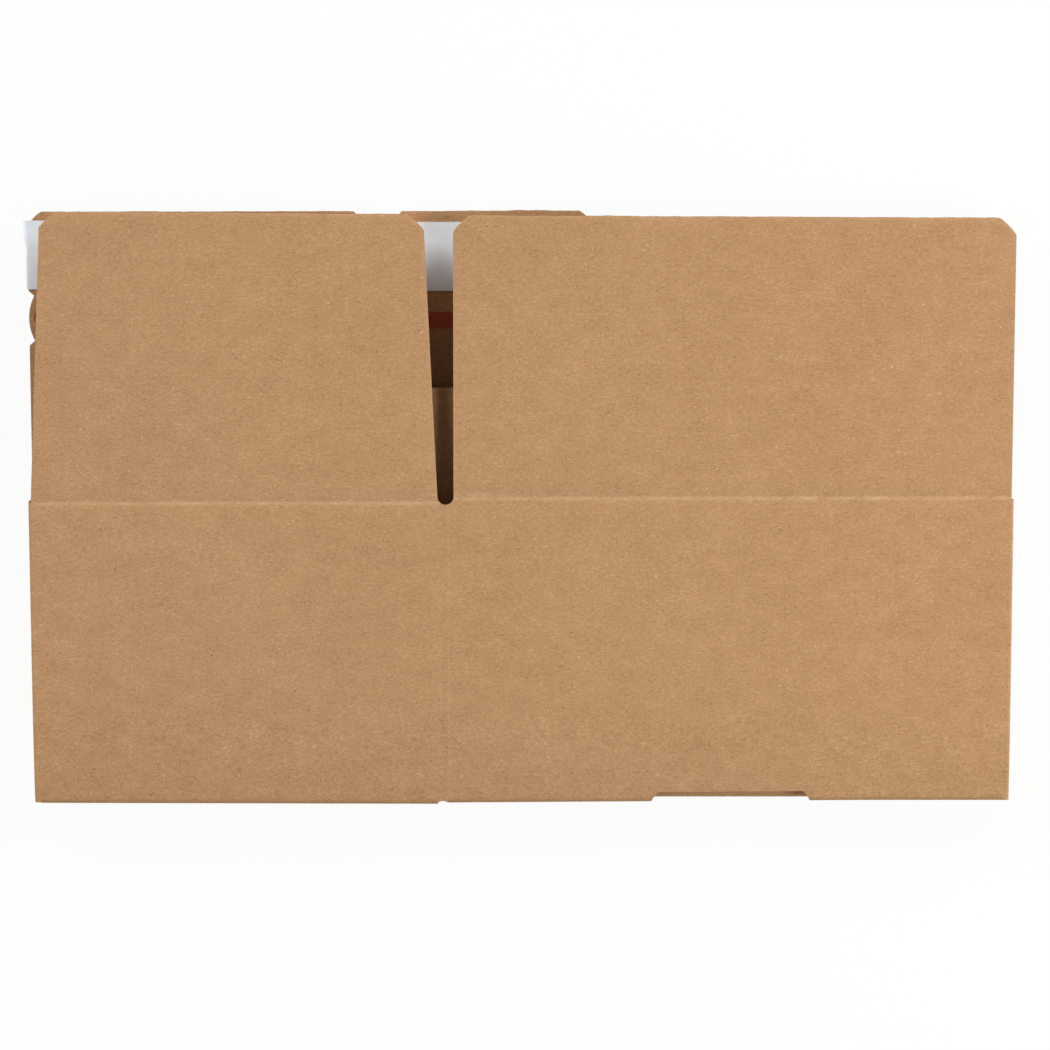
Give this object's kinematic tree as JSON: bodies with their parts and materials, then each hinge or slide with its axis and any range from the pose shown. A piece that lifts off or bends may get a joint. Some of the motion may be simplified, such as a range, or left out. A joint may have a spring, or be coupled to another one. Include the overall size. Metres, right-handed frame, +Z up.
{
  "type": "auto-lock bottom carton",
  "caption": "Flat-folded auto-lock bottom carton of corrugated kraft board, with hinged top flaps, an adhesive strip under a white release liner and a red tear tape.",
  "frame": {"origin": "middle of the footprint at the back panels' outer face, where the folded carton lies", "axes": "+X across the folded carton towards the wide front panel, +Y from the bottom folds towards the top flaps, +Z up through the layers to the front panels"},
  "size_m": [0.3744, 0.2257, 0.014],
  "materials": {
    "kraft_board": "matte",
    "adhesive": "tacky, semi-gloss",
    "liner": "smooth silicone-coated paper",
    "tear_tape": "satin film"
  },
  "bodies": {
    "carton": {"carton_body": "kraft_board"},
    "front_side_flap": {"front_side_flap": "kraft_board"},
    "front_end_flap": {"front_end_flap": "kraft_board"},
    "back_side_flap": {"back_side_flap": "kraft_board", "adhesive_strip": "adhesive", "release_liner": "liner", "tear_tape": "tear_tape"},
    "back_end_flap": {"back_end_flap": "kraft_board"}
  },
  "joints": [
    {"name": "front_side_flap_crease", "type": "hinge", "parent": "carton", "child": "front_side_flap", "pos_m": [0.0824, 0.00535, 0.01385], "axis": [1, 0, 0], "range_deg": [0, 165]},
    {"name": "front_end_flap_crease", "type": "hinge", "parent": "carton", "child": "front_end_flap", "pos_m": [-0.1067, 0.00365, 0.01385], "axis": [1, 0, 0], "range_deg": [0, 165]},
    {"name": "back_side_flap_crease", "type": "hinge", "parent": "carton", "child": "back_side_flap", "pos_m": [-0.0786, 0.00535, 0.00015], "axis": [-1, 0, 0], "range_deg": [0, 165]},
    {"name": "back_end_flap_crease", "type": "hinge", "parent": "carton", "child": "back_end_flap", "pos_m": [0.1096, 0.00365, 0.00015], "axis": [-1, 0, 0], "range_deg": [0, 165]}
  ]
}
